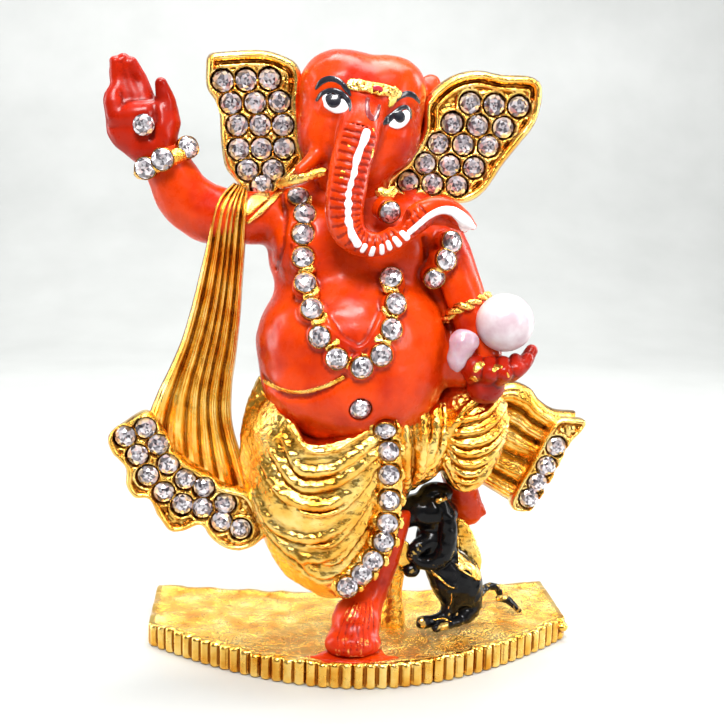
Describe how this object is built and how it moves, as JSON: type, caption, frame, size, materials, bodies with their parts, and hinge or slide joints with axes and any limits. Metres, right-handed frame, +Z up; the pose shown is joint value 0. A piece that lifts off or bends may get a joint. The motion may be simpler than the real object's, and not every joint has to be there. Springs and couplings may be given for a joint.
{
  "type": "ganesha idol",
  "caption": "Small gold-plated and enamelled elephant-headed devotional figure, stone-set, dancing on a ribbed crescent base with a mouse at its side.",
  "frame": {"origin": "centre of the base's flat underside", "axes": "+Z up through the head, -Y towards the viewer, +X to the figure's own left"},
  "size_m": [0.07, 0.032, 0.087],
  "materials": {
    "gold_plate": "bright gold plating over a zinc casting, finely grained",
    "red_enamel": "glossy red-orange enamel",
    "black_enamel": "glossy black enamel",
    "crystal": "foil-backed cut crystal",
    "pearl": "pearlescent bead",
    "clear_resin": "clear pinkish glue",
    "ruby": "polished red stone"
  },
  "bodies": {
    "root": {"base_plate": "gold_plate", "leg_strut": "gold_plate", "dhoti": "gold_plate", "left_knee_drape": "gold_plate", "front_sash": "gold_plate", "sacred_thread": "gold_plate", "necklace_setting": "gold_plate", "right_tusk": "gold_plate", "right_ear": "gold_plate", "right_ear_rim": "gold_plate", "left_ear": "gold_plate", "left_ear_rim": "gold_plate", "forehead_band": "gold_plate", "pendant_setting": "gold_plate", "right_bracelet": "gold_plate", "left_bracelet": "gold_plate", "left_armlet": "gold_plate", "shawl": "gold_plate", "shawl_hem": "gold_plate", "scarf_end": "gold_plate", "scarf_border": "gold_plate", "mouse_cape": "gold_plate", "standing_leg": "red_enamel", "raised_foot": "red_enamel", "torso": "red_enamel", "head": "red_enamel", "trunk": "red_enamel", "right_lip": "red_enamel", "right_upper_arm": "red_enamel", "right_forearm": "red_enamel", "right_hand": "red_enamel", "left_upper_arm": "red_enamel", "left_forearm": "red_enamel", "left_hand": "red_enamel", "mouse_body": "black_enamel", "mouse_head": "black_enamel", "mouse_ear": "black_enamel", "mouse_forearm": "black_enamel", "mouse_foot": "black_enamel", "mouse_tail": "black_enamel", "necklace_stones": "crystal", "right_ear_stones": "crystal", "left_ear_stones": "crystal", "pendant_stone": "crystal", "palm_stone": "crystal", "bracelet_stones": "crystal", "armlet_stones": "crystal", "navel_stone": "crystal", "sash_stones": "crystal", "hem_stones": "crystal", "scarf_stones": "crystal", "pearl": "pearl", "glue_bead": "clear_resin", "forehead_gem": "ruby"}
  },
  "joints": []
}
